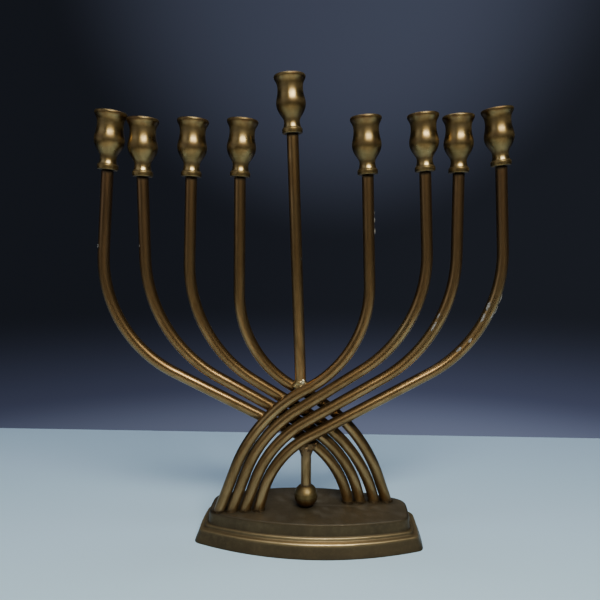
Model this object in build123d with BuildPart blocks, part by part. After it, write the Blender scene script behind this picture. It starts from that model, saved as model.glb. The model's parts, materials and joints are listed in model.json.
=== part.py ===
"""Nine-light brass menorah: cast two-tier base, eight S-shaped rods, turned cups that screw on.

Millimetres, +Z up. The origin is the centre of the base's underside and the front faces -Y.
The arms are bent flat and stand in two parallel upright planes, the front set before the back set.
"""
import os
from math import cos, radians, sin
from build123d import *

os.makedirs("parts", exist_ok=True)

# ---- rods -------------------------------------------------------------------------------------
ROD_R = 3.175          # quarter-inch brass rod
DROP_ROD_R = 3.0
SET_TURN = 7.0         # the arm planes are turned this far about Z from the base's long side
SET_CENTRE = (-1.0, -1.0, 0)
SET_GAP = 3.3          # each set's plane lies this far from the plane between the sets
OVERRUN = 6.0          # rods are swept this far past the ends that are then cut to length
FOOT_GAP = 0.5         # the arms stop this far under the base's top plate
FIT_PLAY = 0.05        # clearance in radius between a rod or a spigot and its hole

# ---- base casting -----------------------------------------------------------------------------
BASE_HALF_W = 64.1
BASE_HALF_D = 30.4     # at the middle of the bowed front
FRONT_CORNER = 0.565   # front corner's distance back from the middle plane over half depth
BACK_CORNER = 0.42
END_BOW = 0.6
SKIRT_H = 7.4
STEP_H = 9.2
BASE_H = 16.0
SKIRT_DRAFT = 2.4
STEP_INSET = 5.6
TOP_INSET = 7.0
TOP_DRAFT = 0.6
SKIRT_CORNER = 3.0
TOP_CORNER = 5.0
INNER_CORNER = 1.5
LEDGE_ROUND = 1.1
STEP_ROUND = 0.4
TOP_ROUND = 0.7
WALL = 2.6
LEVEL_TOL = 0.1        # how close to a height a face counts as lying at it

# ---- candle cups ------------------------------------------------------------------------------
CUP_H = 30.8
LIP_R = 8.55
LIP_ROUND = 0.8
LIP_ARC_R = 1.3
WAIST_R = 6.85
WAIST_H = 24.0         # heights along the cup, from its seat
BULGE_R = 8.0
BULGE_H = 15.4
BOWL_R = 6.75          # the full underside of the bulge
BOWL_H = 11.6
NECK_R = 4.35
NECK_H = 7.3
FLANGE_R = 5.5
FLANGE_H = 3.2
FLANGE_ROUND = 0.5
FLANGE_BEVEL = 0.45
CANDLE_R = 5.1
CANDLE_DEPTH = 13.0
MOUTH_R = 6.7
MOUTH_DEPTH = 3.2
SEAT_GAP = 0.3         # thin dark line between a cup and its rod
SPIGOT_R = 2.0         # turned-down, threaded rod end, made plain
SPIGOT_L = 8.5
TAPPED_DEPTH = 9.5

# ---- ball on the drop rod ---------------------------------------------------------------------
BALL_R = 6.8
BALL_SINK = 0.3        # the ball has a small flat where it stands on the base
BALL_HOLE_DEPTH = 7.0
DROP_TOP = 57.0

# ---- braze ------------------------------------------------------------------------------------
SPOT_SPREAD = 0.6      # how far a braze spot wets round two crossing rods
COLLAR_R = 4.0
COLLAR_H = 1.2
LUMP_R = 4.8
WEB_R = 6.6
WEB_H = 9.0
WEB_HALF_T = 3.2

# Each arm in its own upright plane, as (across, up): where it enters the base, the knee, the
# shoulder and the cup's seat. Then the bend radii at knee and shoulder, and the cup's lean.
FRONT_ARMS = {
    5: ((-50.5, BASE_H), (-29.5, 71.4), (35.6, 105.1), (32.5, 204.6), (85.0, 64.0), -2.9),
    6: ((-43.5, BASE_H), (-26.5, 61.4), (68.3, 120.1), (64.0, 206.4), (70.0, 74.0), -3.8),
    7: ((-36.0, BASE_H), (-22.0, 55.5), (83.2, 114.7), (82.6, 205.8), (63.0, 79.5), -2.2),
    8: ((-28.2, BASE_H), (-19.5, 48.0), (112.0, 116.6), (106.2, 209.8), (52.0, 75.0), -6.8),
}
BACK_ARMS = {
    4: ((47.4, BASE_H), (30.2, 66.5), (-38.6, 102.2), (-36.8, 203.6), (92.5, 62.0), 3.6),
    3: ((40.0, BASE_H), (32.5, 49.6), (-67.0, 114.2), (-63.2, 203.5), (84.0, 77.0), 3.2),
    2: ((31.5, BASE_H), (25.9, 47.4), (-89.2, 115.3), (-89.3, 203.5), (68.0, 79.5), 2.2),
    1: ((24.5, BASE_H), (19.9, 44.4), (-115.5, 117.3), (-107.8, 207.0), (59.0, 70.5), 5.8),
}
STEM_FOOT = (-3.6, 86.4)
STEM_SEAT = (-8.1, 226.4)
SERVANT_LEAN = -3.0
NOTCH = (-3.6, 88.8)   # middle of the braze lump in the upper notch of the crossing
DROP_X = -0.6          # the drop rod and its ball hang this far off the crossing's middle

middle_plane = Plane(
    origin=SET_CENTRE,
    x_dir=(cos(radians(SET_TURN)), sin(radians(SET_TURN)), 0),
    z_dir=(sin(radians(SET_TURN)), -cos(radians(SET_TURN)), 0),
)
front_plane = middle_plane.offset(SET_GAP)
back_plane = middle_plane.offset(-SET_GAP)


def save(piece, name):
    """Label a finished piece and write its STEP file."""
    piece.part.label = name
    export_step(piece.part, f"parts/{name}.step")


def upright(plane, point):
    """Level plane at a point given in an arm plane."""
    return Plane(origin=plane.from_local_coords((point[0], point[1], 0)), x_dir=plane.x_dir)


def seat_plane(plane, seat, lean):
    """Plane across a cup's foot: its normal is the cup's axis, leaning within the arm's plane."""
    axis = plane.x_dir * sin(radians(lean)) + Vector(0, 0, 1) * cos(radians(lean))
    origin = plane.from_local_coords((seat[0], seat[1], 0))
    return Plane(origin=origin, x_dir=axis.cross(plane.z_dir), z_dir=axis)


def extended(start, end, extra):
    """The point this far past end on the line from start to end."""
    run = Vector(*end) - Vector(*start)
    point = Vector(*end) + run.normalized() * extra
    return (point.X, point.Y)


def bent_rod(plane, points, radii, radius):
    """Round rod swept along straight runs joined by tangent arcs, drawn in an upright plane."""
    with BuildPart() as rod:
        with BuildLine(plane) as path:
            FilletPolyline(*points, radius=radii)
        with BuildSketch(Plane(origin=path.line @ 0, z_dir=path.line % 0)):
            Circle(radius)
        sweep()
    return rod.part


def arm_rod(plane, spec, radius):
    """The full bent rod of an arm, run on past the base's top plate and past the cup's seat."""
    foot, knee, shoulder, seat, radii, _ = spec
    points = (extended(knee, foot, OVERRUN), knee, shoulder, extended(shoulder, seat, OVERRUN))
    return bent_rod(plane, points, radii, radius)


def face_and_turn_end(seat):
    """Face the rod being built square to its cup and add the spigot that the cup screws on."""
    split(bisect_by=seat, keep=Keep.BOTTOM)
    with Locations(seat):
        Cylinder(SPIGOT_R, SPIGOT_L, align=(Align.CENTER, Align.CENTER, Align.MIN))


def arm(plane, spec):
    """One S-shaped arm: foot cut level under the top plate, end turned down for its cup."""
    with BuildPart() as rod:
        add(arm_rod(plane, spec, ROD_R))
        split(bisect_by=Plane.XY.offset(BASE_H - WALL - FOOT_GAP), keep=Keep.TOP)
        face_and_turn_end(seat_plane(plane, spec[3], spec[5]))
    return rod


def servant_stem(arms):
    """Straight leaning rod of the raised middle light, coped over the two arms it stands on."""
    with BuildPart() as rod:
        with BuildLine(middle_plane) as path:
            Line(STEM_FOOT, extended(STEM_FOOT, STEM_SEAT, OVERRUN))
        with BuildSketch(Plane(origin=path.line @ 0, z_dir=path.line % 0)):
            Circle(ROD_R)
        sweep()
        face_and_turn_end(seat_plane(middle_plane, STEM_SEAT, SERVANT_LEAN))
        add([rod.part for rod in arms.values()], mode=Mode.SUBTRACT)
    return rod


def plan(inset, corner_round):
    """Outline of a base tier: four bowed sides, drawn in the sketch that calls it."""
    w = BASE_HALF_W - inset
    d = BASE_HALF_D - inset
    front = -d * FRONT_CORNER
    back = d * BACK_CORNER
    with BuildLine() as outline:
        ThreePointArc((-w, front), (0, -d), (w, front))
        ThreePointArc((w, front), (w + END_BOW, 0), (w, back))
        ThreePointArc((w, back), (0, d), (-w, back))
        ThreePointArc((-w, back), (-w - END_BOW, 0), (-w, front))
    face = make_face(outline.edges())
    fillet(face.vertices(), corner_round)


def tier(bottom, top, corner_round, mode=Mode.ADD):
    """One tier of the base, from one (height, inset) to another, with slightly drawn-in sides."""
    sections = []
    for height, inset in (bottom, top):
        with BuildSketch(Plane.XY.offset(height)) as section:
            plan(inset, corner_round)
        sections.append(section.sketch)
    loft(sections, mode=mode)


def base_casting():
    """Hollow two-tier casting, open below, with a slanting hole for every arm."""
    with BuildPart() as base:
        tier((0, 0), (SKIRT_H, SKIRT_DRAFT), SKIRT_CORNER)
        tier((SKIRT_H, STEP_INSET), (STEP_H, STEP_INSET), SKIRT_CORNER)
        tier((STEP_H, TOP_INSET), (BASE_H, TOP_INSET + TOP_DRAFT), TOP_CORNER)
        for height, rounding in ((SKIRT_H, LEDGE_ROUND), (STEP_H, STEP_ROUND), (BASE_H, TOP_ROUND)):
            flats = base.faces().filter_by(Plane.XY)
            level = flats.filter_by_position(Axis.Z, height - LEVEL_TOL, height + LEVEL_TOL)
            fillet(level[0].outer_wire().edges(), rounding)
        tier((0, WALL), (SKIRT_H - WALL, WALL + SKIRT_DRAFT), INNER_CORNER, Mode.SUBTRACT)
        inner = TOP_INSET + WALL
        tier((0, inner), (BASE_H - WALL, inner), INNER_CORNER, Mode.SUBTRACT)
        for plane, specs in ((front_plane, FRONT_ARMS), (back_plane, BACK_ARMS)):
            for spec in specs.values():
                add(arm_rod(plane, spec, ROD_R + FIT_PLAY), mode=Mode.SUBTRACT)
    return base


def candle_cup(seat):
    """Turned cup: flange, waisted neck, bulge and flared lip, bored for a candle and a spigot."""
    floor = CUP_H - MOUTH_DEPTH - CANDLE_DEPTH
    hole = SPIGOT_R + FIT_PLAY
    shoulder = (FLANGE_R - FLANGE_BEVEL, FLANGE_H + FLANGE_BEVEL)
    lip_edge = (LIP_R - LIP_ROUND, CUP_H)
    lip_side = (LIP_R, CUP_H - 2 * LIP_ROUND)
    with BuildPart() as cup:
        with BuildSketch(Plane(origin=seat.origin, x_dir=seat.x_dir, z_dir=-seat.y_dir)):
            with BuildLine():
                Polyline(
                    shoulder, (FLANGE_R, FLANGE_H), (FLANGE_R, SEAT_GAP + FLANGE_ROUND),
                    (FLANGE_R - FLANGE_ROUND, SEAT_GAP), (hole, SEAT_GAP), (hole, TAPPED_DEPTH),
                    (0, TAPPED_DEPTH), (0, floor), (CANDLE_R, floor), (CANDLE_R, CUP_H - MOUTH_DEPTH),
                    (MOUTH_R, CUP_H), lip_edge,
                )
                RadiusArc(lip_edge, lip_side, LIP_ARC_R)
                Spline(lip_side, (WAIST_R, WAIST_H), (BULGE_R, BULGE_H), (BOWL_R, BOWL_H),
                       (NECK_R, NECK_H), shoulder)
            make_face()
        revolve(axis=Axis(seat.origin, seat.z_dir))
    return cup


def drop_rod(arms):
    """Short upright rod under the crossing, coped to the arms above it."""
    ball_top = BASE_H - BALL_SINK + 2 * BALL_R
    with BuildPart() as drop:
        with BuildSketch(upright(middle_plane, (DROP_X, ball_top - BALL_HOLE_DEPTH))):
            Circle(DROP_ROD_R)
        extrude(amount=DROP_TOP - ball_top + BALL_HOLE_DEPTH)
        add([rod.part for rod in arms.values()], mode=Mode.SUBTRACT)
    return drop


def ball_finial(rod):
    """Turned ball, drilled for the drop rod and flat where it stands on the base."""
    with BuildPart() as ball:
        with Locations(upright(middle_plane, (DROP_X, BASE_H - BALL_SINK + BALL_R))):
            Sphere(BALL_R)
        split(bisect_by=Plane.XY.offset(BASE_H), keep=Keep.TOP)
        add(rod.part, mode=Mode.SUBTRACT)
    return ball


def upper_braze(rods):
    """Lump of braze that holds the servant stem in the upper notch of the crossing."""
    with BuildPart() as lump:
        with Locations(upright(middle_plane, NOTCH)):
            Sphere(LUMP_R)
        add([rod.part for rod in rods], mode=Mode.SUBTRACT)
    return lump


def lower_braze(rods):
    """Web of braze between the drop rod and the underside of the crossing."""
    foot = upright(middle_plane, (DROP_X, DROP_TOP - WEB_H))
    flare = WEB_R - DROP_ROD_R
    with BuildPart() as web:
        with BuildSketch(Plane(origin=foot.origin, x_dir=foot.x_dir, z_dir=-foot.y_dir)):
            with BuildLine():
                Polyline((DROP_ROD_R, 0), (0, 0), (0, WEB_H), (WEB_R, WEB_H), (WEB_R, flare))
                RadiusArc((DROP_ROD_R, 0), (WEB_R, flare), flare)
            make_face()
        revolve(axis=Axis(foot.origin, foot.z_dir))
        with Locations(foot):
            Box(2 * WEB_R, 2 * WEB_HALF_T, 2 * WEB_H, mode=Mode.INTERSECT)
        add([rod.part for rod in rods], mode=Mode.SUBTRACT)
    return web


def crossing_brazes(rods):
    """A braze spot between each front arm and each back arm where the two lie together."""
    wetted = {}
    for plane, specs in ((front_plane, FRONT_ARMS), (back_plane, BACK_ARMS)):
        for number, spec in specs.items():
            wetted[number] = arm_rod(plane, spec, ROD_R + SPOT_SPREAD)
    with BuildPart() as spots:
        for front in FRONT_ARMS:
            for back in BACK_ARMS:
                add(wetted[front] & wetted[back])
        add([rod.part for rod in rods], mode=Mode.SUBTRACT)
    return spots


def foot_brazes(arms):
    """Low collars of braze round the arms where they enter the base."""
    with BuildPart() as collars:
        for plane, specs in ((front_plane, FRONT_ARMS), (back_plane, BACK_ARMS)):
            for foot, *_ in specs.values():
                with Locations(upright(plane, foot)):
                    Cone(COLLAR_R, ROD_R, COLLAR_H, align=(Align.CENTER, Align.CENTER, Align.MIN))
        add([rod.part for rod in arms.values()], mode=Mode.SUBTRACT)
    return collars


arms = {}
for plane, specs, side in ((front_plane, FRONT_ARMS, "front"), (back_plane, BACK_ARMS, "back")):
    for number, spec in specs.items():
        arms[number] = arm(plane, spec)
        save(arms[number], f"{side}_arm_{number}")
        save(candle_cup(seat_plane(plane, spec[3], spec[5])), f"candle_cup_{number}")

stem = servant_stem(arms)
save(stem, "servant_stem")
save(candle_cup(seat_plane(middle_plane, STEM_SEAT, SERVANT_LEAN)), "servant_cup")

drop = drop_rod(arms)
save(drop, "drop_rod")
save(ball_finial(drop), "ball_finial")
save(base_casting(), "base_casting")

rods = [*arms.values(), stem, drop]
lump = upper_braze(rods)
web = lower_braze(rods)
save(lump, "upper_braze")
save(web, "lower_braze")
save(crossing_brazes([*rods, lump, web]), "crossing_brazes")
save(foot_brazes(arms), "foot_brazes")
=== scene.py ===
import json
from math import atan2, cos, pi, radians, sin, tan

import bmesh
import bpy
import numpy as np
from mathutils import Matrix, Vector, noise


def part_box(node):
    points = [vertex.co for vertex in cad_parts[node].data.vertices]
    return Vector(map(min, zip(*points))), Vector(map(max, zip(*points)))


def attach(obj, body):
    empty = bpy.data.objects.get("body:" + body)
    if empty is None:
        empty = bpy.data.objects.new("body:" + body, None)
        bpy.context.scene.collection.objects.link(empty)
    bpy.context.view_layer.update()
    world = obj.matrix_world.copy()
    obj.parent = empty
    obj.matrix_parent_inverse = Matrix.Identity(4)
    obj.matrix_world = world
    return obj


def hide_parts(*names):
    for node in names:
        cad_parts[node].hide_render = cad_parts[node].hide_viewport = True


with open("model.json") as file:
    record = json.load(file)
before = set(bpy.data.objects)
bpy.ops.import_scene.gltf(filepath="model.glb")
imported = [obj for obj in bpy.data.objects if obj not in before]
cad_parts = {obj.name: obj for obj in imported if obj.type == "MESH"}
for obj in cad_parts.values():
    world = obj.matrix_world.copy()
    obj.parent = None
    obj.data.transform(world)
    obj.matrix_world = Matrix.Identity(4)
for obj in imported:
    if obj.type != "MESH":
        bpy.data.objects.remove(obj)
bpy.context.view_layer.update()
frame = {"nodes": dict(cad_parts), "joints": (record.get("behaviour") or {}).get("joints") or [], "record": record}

MM = 0.001
ROD_AROUND = 48         # points round a rod's ring
TURNED_AROUND = 96      # points round a turned piece's ring


# ---- mesh helpers -----------------------------------------------------------------------------

def smoothstep(low, high, x):
    t = np.clip((np.asarray(x, float) - low) / (high - low), 0, 1)
    return t * t * (3 - 2 * t)


def new_piece(name, mesh):
    """A linked object around a mesh, shaded smooth."""
    mesh.polygons.foreach_set("use_smooth", [True] * len(mesh.polygons))
    piece = bpy.data.objects.new(name, mesh)
    bpy.context.scene.collection.objects.link(piece)
    return piece


def from_bmesh(name, shape):
    """Turns a finished bmesh into a piece whose material lies on it as it stands."""
    mesh = bpy.data.meshes.new(name)
    shape.to_mesh(mesh)
    shape.free()
    piece = new_piece(name, mesh)
    set_flow(mesh, points_of(piece))
    return piece


def set_flow(mesh, points):
    """Writes where the material sees each point: where it would lie if the piece were straight."""
    flow = mesh.attributes.get("flow") or mesh.attributes.new("flow", "FLOAT_VECTOR", "POINT")
    flow.data.foreach_set("vector", np.asarray(points, np.float32).ravel())


def points_of(piece):
    co = np.zeros(len(piece.data.vertices) * 3, np.float32)
    piece.data.vertices.foreach_get("co", co)
    return co.reshape(-1, 3).astype(float)


def paint(piece, **marks):
    """Writes the marks the material reads: worn metal with painted highlight, soil with painted shade, tarnishing.
    """
    for name, values in marks.items():
        mark = piece.data.attributes.get(name) or piece.data.attributes.new(name, "FLOAT", "POINT")
        mark.data.foreach_set("value", np.asarray(values, np.float32).ravel())


def turn_to(x, y, z):
    """Rotation that takes the three axes to the given directions."""
    columns = [(*direction, 0.0) for direction in (x, y, z)]
    return Matrix((*columns, (0, 0, 0, 1))).transposed()


def skin(name, rings, flow=None):
    """Closed surface through equal rings of points. flow says where the material sees each point."""
    rings = np.asarray(rings, float)
    count, around = rings.shape[:2]
    verts = rings.reshape(-1, 3)
    faces = []
    for i in range(count - 1):
        a, b = i * around, (i + 1) * around
        for j in range(around):
            k = (j + 1) % around
            faces.append((a + j, a + k, b + k, b + j))
    faces.append(tuple(reversed(range(around))))
    faces.append(tuple((count - 1) * around + j for j in range(around)))
    mesh = bpy.data.meshes.new(name)
    mesh.from_pydata([tuple(v) for v in verts], [], faces)
    set_flow(mesh, verts if flow is None else flow)
    mesh.validate()
    mesh.update()
    return new_piece(name, mesh)


def place(piece, body, material, nodes):
    """Gives a finished piece its material and its body, and hides the CAD nodes it stands for."""
    piece.data.materials.clear()
    piece.data.materials.append(material)
    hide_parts(*nodes)
    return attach(piece, body)


# ---- the object's own dimensions, in millimetres ----------------------------------------------

SET_TURN = radians(7.0)
SET_CENTRE = np.array([-1.0, -1.0, 0.0])
SET_GAP = 3.3
ROD_R = 3.175
BASE_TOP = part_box("base_casting")[1].z / MM
FOOT_END = BASE_TOP - 3.1
SPIGOT_L = 8.0          # thin end that carries a cup
SPIGOT_SHARE = 0.62     # its thickness beside the rod's
EDGE = 0.25             # broken edge of a rod's faced end

# 1 in the front set or -1 in the back set, where the arm leaves the base, its knee and its
# shoulder as (across, up) in its plane, and its two bend radii. Its top is where its cup stands.
ARMS = {
    "front_arm_5": (1, -50.5, (-29.5, 71.4), (35.6, 105.1), (85.0, 64.0)),
    "front_arm_6": (1, -43.5, (-26.5, 61.4), (68.3, 120.1), (70.0, 74.0)),
    "front_arm_7": (1, -36.0, (-22.0, 55.5), (83.2, 114.7), (63.0, 79.5)),
    "front_arm_8": (1, -28.2, (-19.5, 48.0), (112.0, 116.6), (52.0, 75.0)),
    "back_arm_4": (-1, 47.4, (30.2, 66.5), (-38.6, 102.2), (92.5, 62.0)),
    "back_arm_3": (-1, 40.0, (32.5, 49.6), (-67.0, 114.2), (84.0, 77.0)),
    "back_arm_2": (-1, 31.5, (25.9, 47.4), (-89.2, 115.3), (68.0, 79.5)),
    "back_arm_1": (-1, 24.5, (19.9, 44.4), (-115.5, 117.3), (59.0, 70.5)),
}
CUP_OF = {name: name.replace("front_arm", "cup").replace("back_arm", "cup") for name in ARMS}
STEM_FOOT = (-3.6, 85.4)

ACROSS = np.array([cos(SET_TURN), sin(SET_TURN), 0.0])
FRONT = np.array([sin(SET_TURN), -cos(SET_TURN), 0.0])
UP = np.array([0.0, 0.0, 1.0])
TURNS = {j["child"]: j for j in frame["joints"]}


def in_plane(across, up, front=0.0):
    """Point in metres from its place in the middle plane of the crossing, in millimetres."""
    return (SET_CENTRE + ACROSS * across + UP * up + FRONT * front) * MM


def seat_of(body):
    """Where a cup's joint stands, as (across, up) in the middle plane of the crossing."""
    at = np.array(TURNS[body]["pos_m"]) / MM - SET_CENTRE
    return np.array([at @ ACROSS, at @ UP])


def bent_line(points, radii, step=1.0):
    """Centre line of a bent rod as (across, up): straight runs joined by tangent arcs."""
    points = [np.array(p, float) for p in points]
    line = [points[0]]

    def run_to(end):
        start = line[-1]
        count = max(1, round(float(np.linalg.norm(end - start)) / step))
        line.extend(start + (end - start) * k / count for k in range(1, count + 1))

    for before, corner, after, radius in zip(points, points[1:], points[2:], radii):
        back = (before - corner) / np.linalg.norm(before - corner)
        on = (after - corner) / np.linalg.norm(after - corner)
        half = np.arccos(np.clip(back @ on, -1, 1)) / 2
        first = corner + back * radius / tan(half)
        last = corner + on * radius / tan(half)
        centre = corner + (back + on) / np.linalg.norm(back + on) * radius / sin(half)
        run_to(first)
        a = atan2(*(first - centre)[::-1])
        sweep = (atan2(*(last - centre)[::-1]) - a + pi) % (2 * pi) - pi
        count = max(2, round(abs(sweep) * radius / step))
        for k in range(1, count + 1):
            t = a + sweep * k / count
            line.append(centre + radius * np.array([cos(t), sin(t)]))
    run_to(points[-1])
    return np.array(line)


def centre_lines():
    """Every rod's centre line in metres, so that each one's crevices can be found."""
    lines = {}
    for name, (side, across, knee, shoulder, radii) in ARMS.items():
        foot = np.array([across, BASE_TOP])
        start = foot + (foot - knee) * (BASE_TOP - FOOT_END) / (knee[1] - BASE_TOP)
        flat = bent_line([start, knee, shoulder, seat_of(CUP_OF[name])], radii)
        lines[name] = np.array([in_plane(a, u, side * SET_GAP) for a, u in flat])
    stem = bent_line([STEM_FOOT, seat_of("servant_cup")], ())
    lines["servant_stem"] = np.array([in_plane(a, u) for a, u in stem])
    return lines


LINES = centre_lines()


def crevice(points, own):
    """1 where a point of one rod lies against another rod, falling to 0 a few millimetres off."""
    others = np.concatenate([line[::2] for name, line in LINES.items() if name != own])
    near = np.full(len(points), 1.0)
    for i in range(0, len(points), 2000):
        part = points[i:i + 2000]
        near[i:i + 2000] = np.sqrt(((part[:, None] - others[None]) ** 2).sum(2).min(1))
    return 1 - smoothstep(ROD_R + 0.2, ROD_R + 2.6, near / MM)


def rod(name, line, radius, seat_axis=None, seed=0.0):
    """Round rod along a centre line. Its top is faced square to seat_axis, with a thinner end on it."""
    tangent = np.gradient(line, axis=0)
    tangent /= np.linalg.norm(tangent, axis=1)[:, None]
    side = np.cross(tangent, FRONT)
    side /= np.linalg.norm(side, axis=1)[:, None]
    angle = np.linspace(0, 2 * pi, ROD_AROUND, endpoint=False)
    x, y = radius * MM * np.cos(angle), radius * MM * np.sin(angle)
    length = np.concatenate([[0], np.cumsum(np.linalg.norm(np.diff(line, axis=0), axis=1))])
    rings = [centre + x[:, None] * across + y[:, None] * FRONT for centre, across in zip(line, side)]
    flow = [np.stack([x, y, np.full(ROD_AROUND, at + seed)], 1) for at in length]
    if seat_axis is not None:
        seat_axis = np.array(seat_axis, float)
        edge = tangent[-1] * EDGE * MM
        drop = (rings[-1] - line[-1]) @ seat_axis / (tangent[-1] @ seat_axis)
        rings[-1] = rings[-1] - drop[:, None] * tangent[-1] - edge
        spread = rings[-1] + edge - line[-1]
        # inner rim of the broken edge, foot of the thin end, its slightly tapered tip
        for share, rise in ((0.93, 0), (SPIGOT_SHARE, 0), (SPIGOT_SHARE * 0.94, SPIGOT_L)):
            rings.append(line[-1] + spread * share + seat_axis * rise * MM)
            flow.append(flow[-1])
    return skin(name, rings, flow=np.array(flow).reshape(-1, 3))


# ---- materials --------------------------------------------------------------------------------

class Nodes:
    """Short names for the nodes of one tree."""

    def __init__(self, tree):
        self.tree = tree

    def add(self, kind, inputs=None, **settings):
        made = self.tree.nodes.new(kind)
        for key, value in settings.items():
            setattr(made, key, value)
        for key, value in (inputs or {}).items():
            socket = made.inputs[key]
            if isinstance(value, bpy.types.NodeSocket):
                self.tree.links.new(value, socket)
            else:
                socket.default_value = value
        return made

    def flow(self, scale):
        read = self.add("ShaderNodeAttribute", attribute_name="flow").outputs["Vector"]
        return self.add("ShaderNodeMapping", {"Vector": read, "Scale": scale}).outputs[0]

    def mark(self, name):
        return self.add("ShaderNodeAttribute", attribute_name=name).outputs["Fac"]

    def noise(self, vector, scale, detail=4.0, rough=0.55, distortion=0.0):
        return self.add("ShaderNodeTexNoise", {"Vector": vector, "Scale": scale, "Detail": detail,
                                               "Roughness": rough, "Distortion": distortion}).outputs["Fac"]

    def remap(self, value, a, b, low=0.0, high=1.0):
        return self.add("ShaderNodeMapRange", {"Value": value, "From Min": a, "From Max": b,
                                               "To Min": low, "To Max": high},
                        interpolation_type="SMOOTHSTEP").outputs["Result"]

    def math(self, operation, a, b):
        return self.add("ShaderNodeMath", {0: a, 1: b}, operation=operation).outputs[0]

    def mix(self, factor, a, b):
        return self.add("ShaderNodeMix", {0: factor, 6: a, 7: b}, data_type="RGBA").outputs[2]

    def bump(self, height, strength, distance, normal=None):
        inputs = {"Height": height, "Strength": strength, "Distance": distance}
        if normal is not None:
            inputs["Normal"] = normal
        return self.add("ShaderNodeBump", inputs).outputs[0]


class Shader(Nodes):
    """One node material, from its name to its finished surface."""

    def __init__(self, name):
        self.material = bpy.data.materials.new(name)
        self.material.use_nodes = True
        super().__init__(self.material.node_tree)
        self.tree.nodes.clear()

    def finish(self, **inputs):
        named = {key.replace("_", " "): value for key, value in inputs.items()}
        shader = self.add("ShaderNodeBsdfPrincipled", named)
        out = self.add("ShaderNodeOutputMaterial")
        self.tree.links.new(shader.outputs[0], out.inputs[0])
        return self.material


def rgb(r, g, b):
    return (r, g, b, 1.0)


def rod_brass(name):
    """Brown aged rod, drawn and brushed along its length."""
    s = Shader(name)
    blotch = s.noise(s.flow((1, 1, 0.35)), 160, 5, 0.6, 0.4)
    streak = s.noise(s.flow((1, 1, 0.02)), 1500, 3, 0.6)
    grain = s.noise(s.flow((1, 1, 0.25)), 2600, 3, 0.65)
    tone = s.mix(s.remap(blotch, 0.32, 0.68), rgb(0.172, 0.100, 0.040), rgb(0.292, 0.182, 0.080))
    tone = s.mix(s.remap(streak, 0.42, 0.75, 0, 0.18), tone, rgb(0.38, 0.250, 0.118))
    tone = s.mix(s.remap(grain, 0.58, 0.80, 0, 0.25), tone, rgb(0.080, 0.046, 0.020))
    tone = s.mix(s.mark("tarnish"), tone, rgb(0.130, 0.072, 0.037))
    # painted shade: near black where the marks set it, in crevices, at the base and under the cups
    dirt = s.math("MULTIPLY", s.mark("grime"), s.remap(grain, 0.2, 0.6, 0.65, 1.0))
    tone = s.mix(dirt, tone, rgb(0.010, 0.007, 0.004))
    rubbed = s.math("MULTIPLY", s.mark("wear"), s.remap(streak, 0.3, 0.62))
    tone = s.mix(rubbed, tone, rgb(0.42, 0.31, 0.15))
    rough = s.remap(blotch, 0.3, 0.7, 0.36, 0.28)
    rough = s.math("ADD", rough, s.math("MULTIPLY", dirt, 0.3))
    rough = s.math("ADD", rough, s.math("MULTIPLY", s.mark("tarnish"), 0.05))
    rough = s.math("SUBTRACT", rough, s.math("MULTIPLY", rubbed, 0.10))
    metal = s.math("SUBTRACT", 0.95, s.math("MULTIPLY", dirt, 0.6))
    normal = s.bump(streak, 0.05, 0.00004, s.bump(grain, 0.03, 0.00003))
    return s.finish(Base_Color=tone, Roughness=rough, Metallic=metal, Normal=normal)


def cup_brass(name, dark, light, rough_range):
    """Turned and softly polished, tarnished brown in the hollows, with painted highlights and painted shade."""
    s = Shader(name)
    blotch = s.noise(s.flow((1, 1, 0.7)), 130, 5, 0.62, 0.6)
    turned = s.noise(s.flow((0.03, 0.03, 1)), 2600, 3, 0.6)
    grain = s.noise(s.flow((1, 1, 1)), 1900, 4, 0.7)
    tone = s.mix(s.remap(blotch, 0.34, 0.66), dark, light)
    tone = s.mix(s.remap(turned, 0.5, 0.8, 0, 0.35), tone, rgb(0.33, 0.245, 0.115))
    tone = s.mix(s.remap(grain, 0.60, 0.80, 0, 0.6), tone, rgb(0.075, 0.045, 0.018))
    tone = s.mix(s.mark("tarnish"), tone, rgb(0.110, 0.052, 0.022))
    # dirt and painted shade, where the marks set them
    dirt = s.math("MULTIPLY", s.mark("grime"), s.remap(blotch, 0.25, 0.6, 0.5, 1.0))
    tone = s.mix(dirt, tone, rgb(0.022, 0.014, 0.006))
    # painted highlight: lighter metal where the highlight marks are set
    tone = s.mix(s.mark("wear"), tone, rgb(0.46, 0.35, 0.18))
    rough = s.remap(blotch, 0.3, 0.7, *rough_range)
    rough = s.math("ADD", rough, s.math("MULTIPLY", dirt, 0.3))
    metal = s.math("SUBTRACT", 1.0, s.math("MULTIPLY", dirt, 0.5))
    normal = s.bump(turned, 0.12, 0.00004, s.bump(grain, 0.15, 0.00005))
    return s.finish(Base_Color=tone, Roughness=rough, Metallic=metal, Normal=normal)


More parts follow.
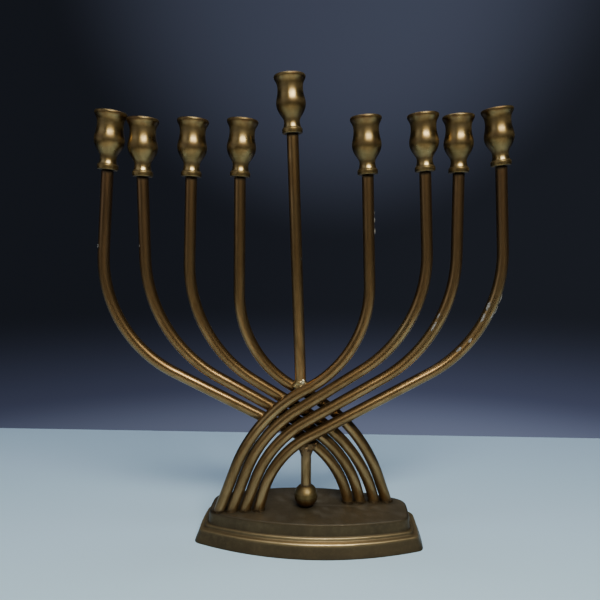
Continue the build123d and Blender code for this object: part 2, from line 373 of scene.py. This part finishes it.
def cast_brass(name):
    """Dark matt casting, mottled and pitted, worn along its ledge, with painted highlights and painted shade."""
    s = Shader(name)
    cloud = s.noise(s.flow((1, 1, 1)), 55, 6, 0.62, 0.5)
    mottle = s.noise(s.flow((1, 1, 1)), 330, 5, 0.66, 0.3)
    pit = s.noise(s.flow((1, 1, 1)), 1500, 3, 0.6)
    scratch = s.noise(s.flow((0.06, 1, 1)), 1300, 2, 0.5)
    tone = s.mix(s.remap(cloud, 0.30, 0.70), rgb(0.056, 0.038, 0.017), rgb(0.086, 0.059, 0.027))
    tone = s.mix(s.remap(mottle, 0.45, 0.75, 0, 0.5), tone, rgb(0.118, 0.084, 0.041))
    # pale bloom, and a painted highlight on the end corners
    tone = s.mix(s.mark("bloom"), tone, rgb(0.150, 0.126, 0.090))
    tone = s.mix(s.remap(pit, 0.62, 0.76, 0, 0.5), tone, rgb(0.022, 0.016, 0.010))
    # dirt and painted shade in the corners, along the top edge and round the feet
    dirt = s.math("MULTIPLY", s.mark("grime"), s.remap(mottle, 0.25, 0.55, 0.6, 1.0))
    tone = s.mix(dirt, tone, rgb(0.013, 0.011, 0.008))
    # worn metal and painted highlight along the ledge's edges
    rubbed = s.math("MULTIPLY", s.mark("wear"), s.remap(scratch, 0.18, 0.55, 0.45, 1.0))
    tone = s.mix(rubbed, tone, rgb(0.56, 0.41, 0.21))
    rough = s.remap(mottle, 0.3, 0.7, 0.60, 0.46)
    rough = s.math("SUBTRACT", rough, s.math("MULTIPLY", rubbed, 0.22))
    metal = s.math("ADD", 0.62, s.math("MULTIPLY", rubbed, 0.36))
    normal = s.bump(pit, 0.35, 0.00010, s.bump(mottle, 0.35, 0.00025))
    return s.finish(Base_Color=tone, Roughness=rough, Metallic=metal, Normal=normal)


def braze_metal(name, dark, light, rough_range):
    """Lumpy filler, brown where flux burnt on, with a painted highlight where its marks set one."""
    s = Shader(name)
    lump = s.noise(s.flow((1, 1, 1)), 420, 4, 0.6, 0.8)
    grain = s.noise(s.flow((1, 1, 1)), 1700, 3, 0.6)
    tone = s.mix(s.remap(lump, 0.38, 0.62), dark, light)
    tone = s.mix(s.remap(grain, 0.58, 0.75, 0, 0.6), tone, rgb(0.050, 0.028, 0.012))
    # painted highlight: pale metal where the marks are set
    tone = s.mix(s.mark("wear"), tone, rgb(0.86, 0.76, 0.52))
    rough = s.remap(lump, 0.35, 0.65, *rough_range)
    normal = s.bump(lump, 0.4, 0.0003, s.bump(grain, 0.3, 0.0001))
    return s.finish(Base_Color=tone, Roughness=rough, Metallic=0.9, Normal=normal)


def wax(name):
    """Old grey-white candle wax, dusty."""
    s = Shader(name)
    spots = s.noise(s.flow((1, 1, 1)), 900, 4, 0.6)
    tone = s.mix(s.remap(spots, 0.4, 0.65), rgb(0.215, 0.205, 0.200), rgb(0.110, 0.098, 0.085))
    normal = s.bump(spots, 0.4, 0.0002)
    return s.finish(Base_Color=tone, Roughness=0.55, Normal=normal, Subsurface_Weight=0.15,
                    Subsurface_Radius=(0.002, 0.0015, 0.001))


ROD = rod_brass("rod_brass")
CUP = cup_brass("cup_brass", rgb(0.170, 0.115, 0.044), rgb(0.292, 0.208, 0.088), (0.34, 0.26))
BALL = cup_brass("ball_brass", rgb(0.125, 0.080, 0.030), rgb(0.225, 0.158, 0.064), (0.52, 0.44))
CAST = cast_brass("cast_brass")
BRAZE = braze_metal("braze", rgb(0.140, 0.092, 0.038), rgb(0.400, 0.290, 0.130), (0.42, 0.28))
WEB = braze_metal("web_braze", rgb(0.052, 0.028, 0.012), rgb(0.150, 0.088, 0.040), (0.58, 0.44))
COLLAR = braze_metal("collar_braze", rgb(0.034, 0.022, 0.011), rgb(0.068, 0.045, 0.022), (0.85, 0.72))
WAX = wax("old_wax")


# ---- rods -------------------------------------------------------------------------------------

# how red-brown each arm has tarnished towards its top
REDNESS = {"back_arm_1": 1.0, "back_arm_2": 0.8, "back_arm_3": 0.5, "back_arm_4": 0.3, "front_arm_5": 0.35,
           "front_arm_6": 0.5, "front_arm_7": 0.7, "front_arm_8": 0.8}

# where an arm is rubbed brighter: share of its length, spread in mm and strength
RUBBED = {
    "front_arm_6": ((0.62, 9, 0.9),),
    "front_arm_7": ((0.60, 8, 0.6), (0.66, 6, 0.5)),
    "front_arm_8": ((0.70, 14, 0.5),),
    "front_arm_5": ((0.30, 12, 0.4),),
}


def make_rods():
    """The eight arms and the stem: painted shade in crevices, at the base and under cups; redder at the tops."""
    for index, (name, line) in enumerate(LINES.items()):
        axis = TURNS[CUP_OF.get(name, "servant_cup")]["axis"]
        piece = rod(f"{name}_bar", line, ROD_R, axis, seed=0.4 * index)
        at = points_of(piece)
        near = crevice(at, name)
        foot = 1 - smoothstep(0.3, 3.0, at[:, 2] / MM - BASE_TOP)
        collar = smoothstep(-2.2, -0.2, (at - at[-1]) @ np.array(axis) / MM + SPIGOT_L)
        rubbed = np.zeros(len(at))
        for share, spread, strength in RUBBED.get(name, ()):
            centre = line[int(share * (len(line) - 1))]
            rubbed += strength * np.exp(-(((at - centre) ** 2).sum(1)) / (spread * MM) ** 2)
        red = REDNESS.get(name, 0) * smoothstep(90, 190, at[:, 2] / MM)
        # painted shade: darker where a rod lies against another, where it enters the base and just under its cup
        paint(piece, wear=np.clip(rubbed, 0, 1), grime=np.clip(near + foot * 0.8 + collar * 0.9, 0, 1),
              tarnish=0.15 * smoothstep(130, 200, at[:, 2] / MM) + 0.65 * red)
        place(piece, "frame", ROD, [name])


# ---- cups -------------------------------------------------------------------------------------

# (radius, height above the seat), from the tapped hole round the outside to the candle's bore
CUP_HOLE = ((0.05, 9.5), (2.0, 9.45), (2.05, 9.0), (2.05, 0.5), (2.2, 0.3))
CUP_FLANGE = ((4.8, 0.3), (5.15, 0.36), (5.38, 0.55), (5.46, 0.85), (5.49, 2.3), (5.28, 3.05), (4.92, 3.22))
CUP_SIDE = (
    (4.92, 3.22), (4.62, 4.2), (4.22, 6.4), (4.32, 7.4), (5.48, 9.6), (7.06, 12.3),     # neck, bowl
    (7.95, 15.9), (7.30, 19.9), (6.81, 24.2), (7.36, 27.0), (8.16, 28.5),               # bulge, waist
    (8.50, 29.4), (8.44, 30.25), (7.95, 30.76), (7.5, 30.77),                           # lip
)
CUP_MOUTH = ((7.5, 30.77), (7.05, 30.62), (5.95, 29.2), (5.35, 28.1), (5.1, 27.4))
CUP_BORE = ((5.1, 21.0), (5.1, 15.4), (4.9, 14.8), (4.3, 14.62), (0.05, 14.6))
CURVE_STEP = 0.3

# (height, spread, strength) of the bands of painted highlight, then of the bands where the cup is darker
# painted highlights on the flange's flare, the upper bulge and the underside of the lip
CUP_RUBBED = ((4.3, 0.75, 0.45), (20.0, 1.2, 0.15), (28.3, 0.5, 0.10))
# dirt in the flange and neck, rim tarnish, waist tarnish with painted dark reflection, painted dark band at 16.3
CUP_DIRT = ((0.3, 0.25, 0.6), (2.1, 0.9, 0.3), (3.15, 0.3, 0.7), (7.1, 1.4, 0.65), (16.3, 1.5, 0.45),
            (24.4, 2.1, 0.55), (29.75, 0.55, 0.5), (30.75, 0.3, 0.15))


def curve(points):
    """Natural cubic curve through the points, as evenly spaced points on it."""
    points = np.array(points, float)
    span = np.linalg.norm(np.diff(points, axis=0), axis=1)
    at = np.concatenate([[0], np.cumsum(span)])
    count = len(points)
    bend, pull = np.eye(count), np.zeros((count, 2))
    for i in range(1, count - 1):
        bend[i, i - 1:i + 2] = span[i - 1], 2 * (span[i - 1] + span[i]), span[i]
        slopes = np.diff(points[i - 1:i + 2], axis=0) / span[i - 1:i + 1, None]
        pull[i] = 6 * (slopes[1] - slopes[0])
    bends = np.linalg.solve(bend, pull)
    out = []
    for x in np.linspace(0, at[-1], round(at[-1] / CURVE_STEP) + 1):
        i = min(np.searchsorted(at, x, side="right") - 1, count - 2)
        u, v, h = at[i + 1] - x, x - at[i], span[i]
        out.append(points[i] * u / h + points[i + 1] * v / h
                   + (bends[i] * (u ** 3 / h - h * u) + bends[i + 1] * (v ** 3 / h - h * v)) / 6)
    return out


def bands(height, marks):
    return sum(strength * np.exp(-((height - middle) / spread) ** 2) for middle, spread, strength in marks)


def cup_profile():
    """(radius, height, painted highlight, soil and painted shade) all round a cup's section. The hole and the bore
    are dirty.
    """
    rows = [(r, h, 0, 1) for r, h in CUP_HOLE]
    for r, h in curve(CUP_FLANGE) + curve(CUP_SIDE)[1:]:
        rows.append((r, h, bands(h, CUP_RUBBED), bands(h, CUP_DIRT)))
    rows += [(r, h, 0, 0.3 + 0.15 * (CUP_MOUTH[0][1] - h)) for r, h in curve(CUP_MOUTH)[1:]]
    return rows + [(r, h, 0, 1) for r, h in CUP_BORE]


def lathe(name, profile, origin, axis, wobble=0.0, seed=0.0):
    """Turned piece: the profile's radius and height spun about an axis that starts at origin."""
    axis = np.array(axis, float)
    across = np.cross(axis, FRONT)
    across /= np.linalg.norm(across)
    third = np.cross(axis, across)
    angle = np.linspace(0, 2 * pi, TURNED_AROUND, endpoint=False)
    spin = np.cos(angle)[:, None] * across + np.sin(angle)[:, None] * third
    rings, flow, wear, grime = [], [], [], []
    for r, h, rubbed, dirt in profile:
        soft = r * MM * (1 + wobble * np.cos(2 * angle + seed))
        rings.append(np.array(origin, float) + spin * soft[:, None] + axis * h * MM)
        flow.append(np.stack([r * MM * np.cos(angle), r * MM * np.sin(angle),
                              np.full(TURNED_AROUND, h * MM + seed)], 1))
        wear.append(np.full(TURNED_AROUND, rubbed))
        grime.append(np.full(TURNED_AROUND, dirt))
    piece = skin(name, rings, flow=np.array(flow).reshape(-1, 3))
    paint(piece, wear=np.clip(wear, 0, 1), grime=np.clip(grime, 0, 1))
    return piece


def make_cups():
    """Nine cups of one turned shape, each with its own stains and a painted dark band, on its own body."""
    profile = cup_profile()
    for index, (body, joint) in enumerate(sorted(TURNS.items())):
        node = frame["record"]["behaviour"]["bodies"][body][0]
        piece = lathe(f"{node}_turned", profile, joint["pos_m"], joint["axis"],
                      wobble=0.003, seed=0.3 + 0.7 * index)
        stain = np.array([noise.noise(Vector(p) * 320 + Vector((index, 0, 0))) for p in points_of(piece)])
        along = (points_of(piece) - joint["pos_m"]) @ np.array(joint["axis"]) / MM
        # tarnish on the lip, and a band of painted dark reflection round the bulge at 16.8 mm
        lip = smoothstep(25.5, 28.5, along) + 0.7 * np.exp(-((along - 16.8) / 1.6) ** 2)
        paint(piece, tarnish=np.clip(0.15 + 0.55 * lip * smoothstep(-0.25, 0.45, stain), 0, 1))
        place(piece, body, CUP, [node])


# ---- ball and drop rod ------------------------------------------------------------------------

BALL_R = 6.8
BALL_FLAT = 0.3         # cut off where it stands on the base
BALL_LINE = 6.2         # height of the fine line round it
BALL_STEPS = 40
DROP_R = 3.0
DROP_X = -0.6
DROP_TOP = 53.0


def make_ball():
    """Turned ball with a fine line at its middle, standing on a small flat."""
    centre = BALL_R - BALL_FLAT
    foot, neck = pi - np.arccos(centre / BALL_R), np.arcsin(DROP_R / BALL_R)
    profile = [(0.05, 0.0, 0, 1)]
    for t in np.linspace(foot, neck, BALL_STEPS + 1):
        height = centre + BALL_R * cos(t)
        line = np.exp(-((height - BALL_LINE) / 0.22) ** 2)
        # dirt in the fine line; painted shade towards the bottom, where the ball stands; painted highlight on its
        # upper part
        dirt = min(1, 0.7 * line + 0.9 * max(0, 1 - height / 3.2))
        profile.append((BALL_R * sin(t) - 0.07 * line, height, 0.15 if height > 8.5 else 0, dirt))
    top = profile[-1][1]
    profile += [(DROP_R + 0.02, top - 0.25, 0, 1), (0.05, top - 0.3, 0, 1)]
    piece = lathe("ball_finial_turned", profile, in_plane(DROP_X, BASE_TOP), UP)
    at = points_of(piece)[:, 2] / MM - BASE_TOP
    paint(piece, tarnish=0.75 * (1 - smoothstep(3.5, 7.5, at)))
    place(piece, "frame", BALL, ["ball_finial"])


def make_drop_rod():
    """Short rod from inside the ball up into the web of braze."""
    line = np.array([in_plane(DROP_X, u) for u in np.arange(BASE_TOP + 7, DROP_TOP, 1.0)])
    piece = rod("drop_rod_bar", line, DROP_R, seed=7.0)
    at = points_of(piece)[:, 2] / MM
    ball_top = BASE_TOP - BALL_FLAT + 2 * BALL_R
    # painted shade where the rod enters the ball and just under the web of braze
    grime = 0.8 * np.exp(-((at - ball_top + 0.4) / 0.7) ** 2) + 0.4 * smoothstep(44, 51, at)
    paint(piece, grime=grime, tarnish=0.35 * smoothstep(38, 50, at))
    place(piece, "frame", ROD, ["drop_rod"])


# ---- base -------------------------------------------------------------------------------------

END_BOW = 0.6
HALF_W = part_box("base_casting")[1].x / MM - END_BOW
HALF_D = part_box("base_casting")[1].y / MM
FRONT_CORNER = 0.565    # how far front and back of the middle the ends reach, as a share of HALF_D
BACK_CORNER = 0.42
CORNER_POINTS = 12


def bowed(start, end, bow, count):
    """Points of a shallow arc from start to end, standing off by bow at its middle."""
    start, end = np.array(start, float), np.array(end, float)
    t = np.linspace(0, 1, count)[:, None]
    run = end - start
    out = np.array([run[1], -run[0]]) / np.linalg.norm(run)
    return start + run * t + out * bow * 4 * t * (1 - t)


def outline(inset, corner):
    """One level of the base's outline: bowed front and back, nearly straight ends."""
    w, d = HALF_W - inset, HALF_D - inset
    front, back = -d * FRONT_CORNER, d * BACK_CORNER
    sides = (
        bowed((-w, front), (w, front), d + front, 121),
        bowed((w, front), (w, back), END_BOW, 41),
        bowed((w, back), (-w, back), d - back, 121),
        bowed((-w, back), (-w, front), END_BOW, 41),
    )
    points = []
    for side, after in zip(sides, sides[1:] + sides[:1]):
        far = np.linalg.norm(side - side[-1], axis=1)
        near = np.linalg.norm(side - side[0], axis=1)
        fine = np.linspace(0, 1, len(side))
        a = np.interp(-corner, -far, fine)
        b = np.interp(corner, near, fine)
        kept = np.linspace(b, a, len(side) // 2)
        points += list(np.column_stack([np.interp(kept, fine, side[:, axis]) for axis in (0, 1)]))
        first = points[-1]
        reach = np.linalg.norm(after - after[0], axis=1)
        last = np.array([np.interp(corner, reach, after[:, 0]), np.interp(corner, reach, after[:, 1])])
        for t in np.linspace(0, 1, CORNER_POINTS)[1:-1]:
            points.append(first * (1 - t) ** 2 + side[-1] * 2 * t * (1 - t) + last * t ** 2)
    return np.array(points)


# (inset, height, corner, wear with painted highlight, dirt with painted shade) from the middle of the top, over
# the outside and under
BASE_PROFILE = (
    (29.2, 16.00, 0.3, 0, 0), (26.0, 16.00, 1, 0, 0), (22.0, 16.00, 2, 0, 0), (18.0, 16.00, 3, 0, 0),
    (14.0, 16.00, 4, 0, 0), (11.0, 16.00, 4.5, 0, 0), (9.2, 15.99, 4.8, 0, 0),
    # the top edge's rounding: painted shade that dulls its glint
    (8.55, 15.94, 5, 0, 0.3), (8.10, 15.78, 5, 0, 0.55), (7.80, 15.50, 5, 0, 0.45),
    (7.62, 15.05, 5, 0, 0.1), (7.45, 14.0, 5, 0, 0), (7.32, 12.5, 5, 0, 0), (7.20, 11.0, 5, 0, 0.05),
    # foot of the riser and the ledge: painted shade in the concave corners, painted highlight on the edges
    (7.08, 9.9, 5, 0, 0.2), (6.98, 9.45, 4.6, 0, 0.45), (6.75, 9.26, 4.2, 0.15, 0.3),
    (6.45, 9.22, 3.8, 0.45, 0), (6.10, 9.19, 3.4, 0.75, 0), (5.85, 9.08, 3.2, 0.8, 0),
    (5.68, 8.86, 3, 0.75, 0), (5.62, 8.50, 3, 0.55, 0.05), (5.58, 8.0, 3, 0.35, 0.15),
    (5.42, 7.62, 3, 0.3, 0.2), (5.0, 7.42, 3, 0.45, 0.1), (4.4, 7.37, 3, 0.65, 0),
    (3.8, 7.40, 3, 0.8, 0), (3.35, 7.38, 3, 1, 0), (2.95, 7.24, 3, 1, 0), (2.66, 6.96, 3, 0.85, 0),
    (2.46, 6.50, 3, 0.4, 0), (2.26, 5.8, 3, 0.05, 0), (1.86, 4.6, 3, 0, 0), (1.42, 3.4, 3, 0, 0),
    # darker towards the bottom edge, and dark underneath
    (0.95, 2.2, 3, 0, 0.05), (0.50, 1.1, 3, 0, 0.2), (0.22, 0.45, 3, 0, 0.35), (0.14, 0.16, 3, 0, 0.5),
    (0.30, 0.0, 3, 0, 0.6), (2.5, 0.0, 1.6, 0, 0.6), (2.75, 0.3, 1.5, 0, 0.8), (4.2, 4.3, 1.5, 0, 1),
    (5.2, 4.8, 1.5, 0, 1), (9.0, 4.85, 1.5, 0, 1), (9.6, 5.4, 1.5, 0, 1), (9.6, 12.6, 1.5, 0, 1),
    (10.2, 13.4, 1.5, 0, 1), (18.0, 13.4, 1.5, 0, 1), (29.0, 13.4, 0.3, 0, 1),
)


def make_base():
    """The casting: faintly uneven, worn along its ledge with painted highlight, painted shade round the feet of
    the arms.
    """
    rings, wear, grime = [], [], []
    for inset, height, corner, rubbed, dirt in BASE_PROFILE:
        ring = outline(inset, corner)
        rings.append(np.column_stack([ring, np.full(len(ring), height)]))
        across = ring[:, 0] / HALF_W
        middle = np.exp(-((across - 0.12) / 0.50) ** 2)
        front = smoothstep(0.2, 0.6, -ring[:, 1] / HALF_D)
        # worn metal and painted highlight, strongest along the middle of the front
        handled = 0.12 + 0.88 * front * middle + 0.2 * smoothstep(0.9, 0.98, np.abs(across))
        wear.append(rubbed * np.clip(handled, 0, 1))
        grime.append(np.full(len(ring), dirt))
    rings = np.array(rings)
    seed = Vector((3.1, 1.7, 0.4))
    for point in rings.reshape(-1, 3):
        if 0.2 < point[2] < BASE_TOP - 0.01:
            spot = Vector(point)
            sway = noise.noise(spot * 0.09 + seed) * 0.10 + noise.noise(spot * 0.35 + seed) * 0.04
            point[:2] *= 1 - abs(sway) / 40
    piece = skin("base_casting_body", rings * MM, flow=rings.reshape(-1, 3) * MM)
    at = points_of(piece)
    on_top = at[:, 2] / MM > BASE_TOP - 0.5
    feet = {name: LINES[name][3] for name in ARMS} | {"ball": in_plane(DROP_X, BASE_TOP)}
    off = {name: np.sqrt(((at[:, :2] - foot[:2]) ** 2).sum(1)) / MM for name, foot in feet.items()}
    nearest = np.min(list(off.values()), 0)
    # painted shade round the feet of the arms and under the ball
    dirt = np.array(grime).ravel() + 0.55 * (1 - smoothstep(3.0, 7.0, nearest)) * on_top
    patch = np.array([noise.noise(Vector(p) * 210) for p in at])
    scuffed = 1 - smoothstep(6, 22, np.min([off[name] for name in ("back_arm_1", "back_arm_2", "ball")], 0))
    bloom = on_top * (0.28 + (0.25 + 0.5 * scuffed) * smoothstep(-0.1, 0.45, patch))
    # pale strips on the end corners of the upper tier: worn metal and painted highlight
    ends = smoothstep(0.93, 0.99, np.abs(at[:, 0]) / MM / HALF_W) * smoothstep(6.5, 7.2, at[:, 2] / MM)
    paint(piece, wear=wear, grime=np.clip(dirt, 0, 1), bloom=np.clip(bloom + 0.7 * ends, 0, 1))
    place(piece, "frame", CAST, ["base_casting"])


# ---- braze ------------------------------------------------------------------------------------

VOXEL = 0.32
ALONG_SET = turn_to(ACROSS, FRONT, UP)


def blob(name, balls, lumpy, melt=6):
    """Frozen drop of filler: overlapping balls melted into one skin and roughened a little."""
    soft = bmesh.new()
    for centre, radius in balls:
        stretch = Matrix.Diagonal((*[r * MM for r in radius], 1.0))
        bmesh.ops.create_icosphere(soft, subdivisions=3, radius=1.0,
                                   matrix=Matrix.Translation(Vector(centre)) @ ALONG_SET @ stretch)
    piece = from_bmesh(name, soft)
    join = piece.modifiers.new("join", "REMESH")
    join.mode = "VOXEL"
    join.voxel_size = VOXEL * MM
    flowed = piece.modifiers.new("melt", "SMOOTH")
    flowed.iterations = melt
    flowed.factor = 0.6
    bpy.context.view_layer.update()
    shaped = bpy.data.meshes.new_from_object(piece.evaluated_get(bpy.context.evaluated_depsgraph_get()))
    piece.modifiers.clear()
    piece.data = shaped
    for vertex in shaped.vertices:
        p = vertex.co / MM
        rise = noise.noise(p * 0.55) * 0.7 + noise.noise(p * 1.6) * 0.3
        vertex.co += vertex.normal * rise * lumpy * MM
    shaped.polygons.foreach_set("use_smooth", [True] * len(shaped.polygons))
    set_flow(shaped, points_of(piece))
    return piece


COLLAR_AROUND = 40
# (how far the collar stands out from the rod, height above the base's top)
COLLAR_STEPS = (
    (-0.3, -0.4), (0.7, -0.05), (0.55, 0.10), (0.30, 0.28), (0.12, 0.6), (0.02, 1.0), (-0.3, 1.1),
)


def make_upper_braze():
    """The lump in the notch where the stem stands, with a painted highlight on one facet."""
    lump = blob("upper_braze_lump", [
        (in_plane(-3.7, 87.0), (4.0, 4.3, 2.9)), (in_plane(-4.1, 89.7), (3.7, 3.8, 2.3)),
        (in_plane(-6.6, 87.9), (2.2, 3.2, 1.9)), (in_plane(-0.9, 88.6, 1.2), (2.6, 2.4, 1.6)),
        (in_plane(-2.4, 90.6, 2.4), (1.4, 1.2, 1.6)),
    ], lumpy=0.16)
    at = points_of(lump)
    # painted highlight on the lump's front facet
    bright = np.exp(-((at - in_plane(-2.2, 90.4, 3.9)) ** 2).sum(1) / (1.3 * MM) ** 2)
    paint(lump, wear=np.clip(1.2 * bright, 0, 1))
    place(lump, "frame", BRAZE, ["upper_braze"])


def make_lower_braze():
    """The web that spreads upwards from the drop rod to the arms on both sides."""
    balls = []
    for t in np.linspace(0, 1, 9):
        half = DROP_R + 3.7 * t ** 1.5
        up = 46.8 + 7.0 * t
        balls += [(in_plane(DROP_X + s * (half - 1.3), up), (1.5, 2.4 + 0.5 * t, 1.3)) for s in (-1, 1)]
        balls.append((in_plane(DROP_X, up), (half - 0.6, 3.05, 1.4)))
    web = blob("lower_braze_web", balls, lumpy=0.14, melt=8)
    place(web, "frame", WEB, ["lower_braze"])


def make_foot_brazes():
    """A ragged collar round each arm where it enters the base."""
    whole = bmesh.new()
    angle = np.linspace(0, 2 * pi, COLLAR_AROUND, endpoint=False)
    spin = np.cos(angle)[:, None] * ACROSS + np.sin(angle)[:, None] * FRONT
    for index, name in enumerate(ARMS):
        line = LINES[name]
        rings = []
        for out, rise in COLLAR_STEPS:
            height = (BASE_TOP + rise) * MM
            row = np.searchsorted(line[:, 2], height)
            share = (height - line[row - 1, 2]) / (line[row, 2] - line[row - 1, 2])
            centre = line[row - 1] + share * (line[row] - line[row - 1])
            uneven = np.array([noise.noise(Vector((2 * cos(a), 2 * sin(a), 5.0 * index))) for a in angle])
            reach = (ROD_R + out * (1 + 0.5 * uneven) + 0.02) * MM
            rings.append(centre + reach[:, None] * spin)
        collar = skin(f"collar_{index}", rings)
        whole.from_mesh(collar.data)
        bpy.data.objects.remove(collar)
    piece = from_bmesh("foot_brazes_collars", whole)
    place(piece, "frame", COLLAR, ["foot_brazes"])


def paint_crossing_brazes():
    """The CAD's own spots between the arms are shown as they are."""
    spots = frame["nodes"]["crossing_brazes"]
    set_flow(spots.data, points_of(spots))
    spots.data.materials.clear()
    spots.data.materials.append(COLLAR)


# ---- old wax ----------------------------------------------------------------------------------

# arm, share of its length, turn about it in degrees (0 outwards, 90 to the front), then the
# wax's length, width and rise in mm
DRIPS = (
    ("front_arm_5", 0.895, 8, 2.4, 0.9, 0.40), ("front_arm_5", 0.868, 0, 2.8, 1.1, 0.50),
    ("front_arm_5", 0.912, 14, 1.2, 0.7, 0.25), ("front_arm_8", 0.725, 18, 6.0, 1.7, 0.32),
    ("front_arm_8", 0.703, 28, 5.0, 1.5, 0.26), ("front_arm_8", 0.705, 142, 5.2, 1.5, 0.20),
    ("front_arm_8", 0.676, 136, 5.0, 1.3, 0.20), ("front_arm_8", 0.690, 60, 3.6, 1.0, 0.16),
    ("front_arm_8", 0.619, 112, 2.6, 1.3, 0.24), ("front_arm_8", 0.592, 132, 3.4, 1.2, 0.20),
    ("front_arm_7", 0.648, 128, 5.6, 1.1, 0.20), ("front_arm_7", 0.676, 138, 3.2, 0.8, 0.16),
    ("back_arm_1", 0.845, 150, 2.0, 0.7, 0.22), ("back_arm_2", 0.849, 140, 1.4, 0.5, 0.15),
    ("servant_stem", 0.53, 40, 1.0, 0.5, 0.15),
)


def make_drips():
    """Ragged flat beads of wax stuck to the rods."""
    whole = bmesh.new()
    for index, (name, share, turn, long, wide, rise) in enumerate(DRIPS):
        line = LINES[name]
        i = int(share * (len(line) - 1))
        along = line[i + 1] - line[i]
        along /= np.linalg.norm(along)
        out = np.cross(FRONT, along)
        out = out if out @ ACROSS > 0 else -out
        away = out * cos(radians(turn)) + FRONT * sin(radians(turn))
        centre = Matrix.Translation(Vector(line[i] + away * ROD_R * MM))
        onto = centre @ turn_to(away, np.cross(along, away), along)
        made = bmesh.ops.create_icosphere(whole, subdivisions=4, radius=1.0)
        for vertex in made["verts"]:
            ragged = 1 + 0.45 * noise.noise(vertex.co * 1.8 + Vector((index * 3.3, 0, 0)))
            size = Vector((rise, wide / 2, long / 2)) * MM * ragged
            vertex.co = onto @ (vertex.co * size)
    piece = from_bmesh("wax_drips", whole)
    piece.data.materials.append(WAX)
    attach(piece, "frame")


# ---- floor, light and camera ------------------------------------------------------------------

FLOOR_REACH = 0.9
FLOOR_BACK_LEFT = 0.145
FLOOR_BACK_RIGHT = 0.177


def make_floor():
    """Pale table top, warm grey in front, painted shade making it darker and bluer towards its back edge, which
    runs a little askew.
    """
    corners = [(-FLOOR_REACH, -FLOOR_REACH, 0), (FLOOR_REACH, -FLOOR_REACH, 0),
               (FLOOR_REACH, FLOOR_BACK_RIGHT, 0), (-FLOOR_REACH, FLOOR_BACK_LEFT, 0)]
    mesh = bpy.data.meshes.new("floor")
    mesh.from_pydata(corners, [], [(0, 1, 2, 3)])
    floor = new_piece("floor", mesh)
    s = Shader("floor")
    where = s.add("ShaderNodeTexCoord").outputs["Object"]
    depth = s.add("ShaderNodeSeparateXYZ", {"Vector": where}).outputs[1]
    # painted shade: darker and bluer towards the back edge
    tone = s.mix(s.remap(depth, -0.15, 0.17), rgb(0.62, 0.83, 1.0), rgb(0.44, 0.61, 0.82))
    tone = s.mix(s.remap(depth, -0.32, -0.09), rgb(0.78, 0.76, 0.71), tone)
    floor.data.materials.append(s.finish(Base_Color=tone, Roughness=0.6))


def soft_light(name, spot, aim, size, power, colour):
    """Rectangular soft light at a spot, turned to its aim."""
    lamp = bpy.data.lights.new(name, "AREA")
    lamp.shape = "RECTANGLE"
    lamp.size, lamp.size_y = size
    lamp.energy = power
    lamp.color = colour
    piece = bpy.data.objects.new(name, lamp)
    bpy.context.scene.collection.objects.link(piece)
    piece.location = spot
    piece.rotation_euler = (Vector(aim) - Vector(spot)).to_track_quat("-Z", "Y").to_euler()


def make_lights():
    soft_light("key", (0.17, -0.50, 0.68), (0, 0, 0.13), (0.46, 0.16), 6.4, (1.0, 0.99, 0.85))
    soft_light("fill", (-0.55, -0.35, 0.45), (0, 0, 0.12), (0.5, 0.6), 0.6, (0.9, 0.95, 1.0))
    soft_light("top", (0.0, 0.05, 0.85), (0, 0, 0.1), (0.5, 0.5), 2.6, (0.82, 0.91, 1.0))


def make_room():
    """Dark room: bluer and lighter low down behind the floor, with a dim glow high up behind."""
    world = bpy.data.worlds.new("room")
    bpy.context.scene.world = world
    world.use_nodes = True
    s = Nodes(world.node_tree)
    look = s.add("ShaderNodeTexCoord").outputs["Generated"]
    x, _, z = s.add("ShaderNodeSeparateXYZ", {"Vector": look}).outputs
    low = s.remap(z, -0.345, -0.12)
    lowest = s.remap(z, -0.345, -0.26)
    tone = s.mix(low, rgb(0.066, 0.076, 0.135), rgb(0.0125, 0.0145, 0.0205))
    tone = s.mix(lowest, rgb(0.135, 0.158, 0.240), tone)
    glow = s.add("ShaderNodeVectorMath", {0: look, 1: (0.0, 0.905, 0.426)}, operation="DOT_PRODUCT")
    near = s.remap(glow.outputs["Value"], 0.90, 1.0, 0, 0.45)
    tone = s.mix(near, tone, rgb(0.110, 0.128, 0.200))
    side = s.remap(x, -0.45, 0.25, 0.72, 1.0)
    background = world.node_tree.nodes["Background"]
    s.tree.links.new(tone, background.inputs["Color"])
    s.tree.links.new(side, background.inputs["Strength"])


def make_camera():
    """Wide lens close in front and a little above, looking slightly down and to the left."""
    lens = bpy.data.cameras.new("camera")
    lens.lens = 33.0
    lens.sensor_width = 36.0
    camera = bpy.data.objects.new("camera", lens)
    bpy.context.scene.collection.objects.link(camera)
    camera.location = (0.0152, -0.3058, 0.1712)
    camera.rotation_euler = (radians(83.51), 0, radians(3.81))
    bpy.context.scene.camera = camera


make_rods()
make_cups()
make_ball()
make_drop_rod()
make_base()
make_upper_braze()
make_lower_braze()
make_foot_brazes()
paint_crossing_brazes()
make_drips()
make_floor()
make_lights()
make_room()
make_camera()
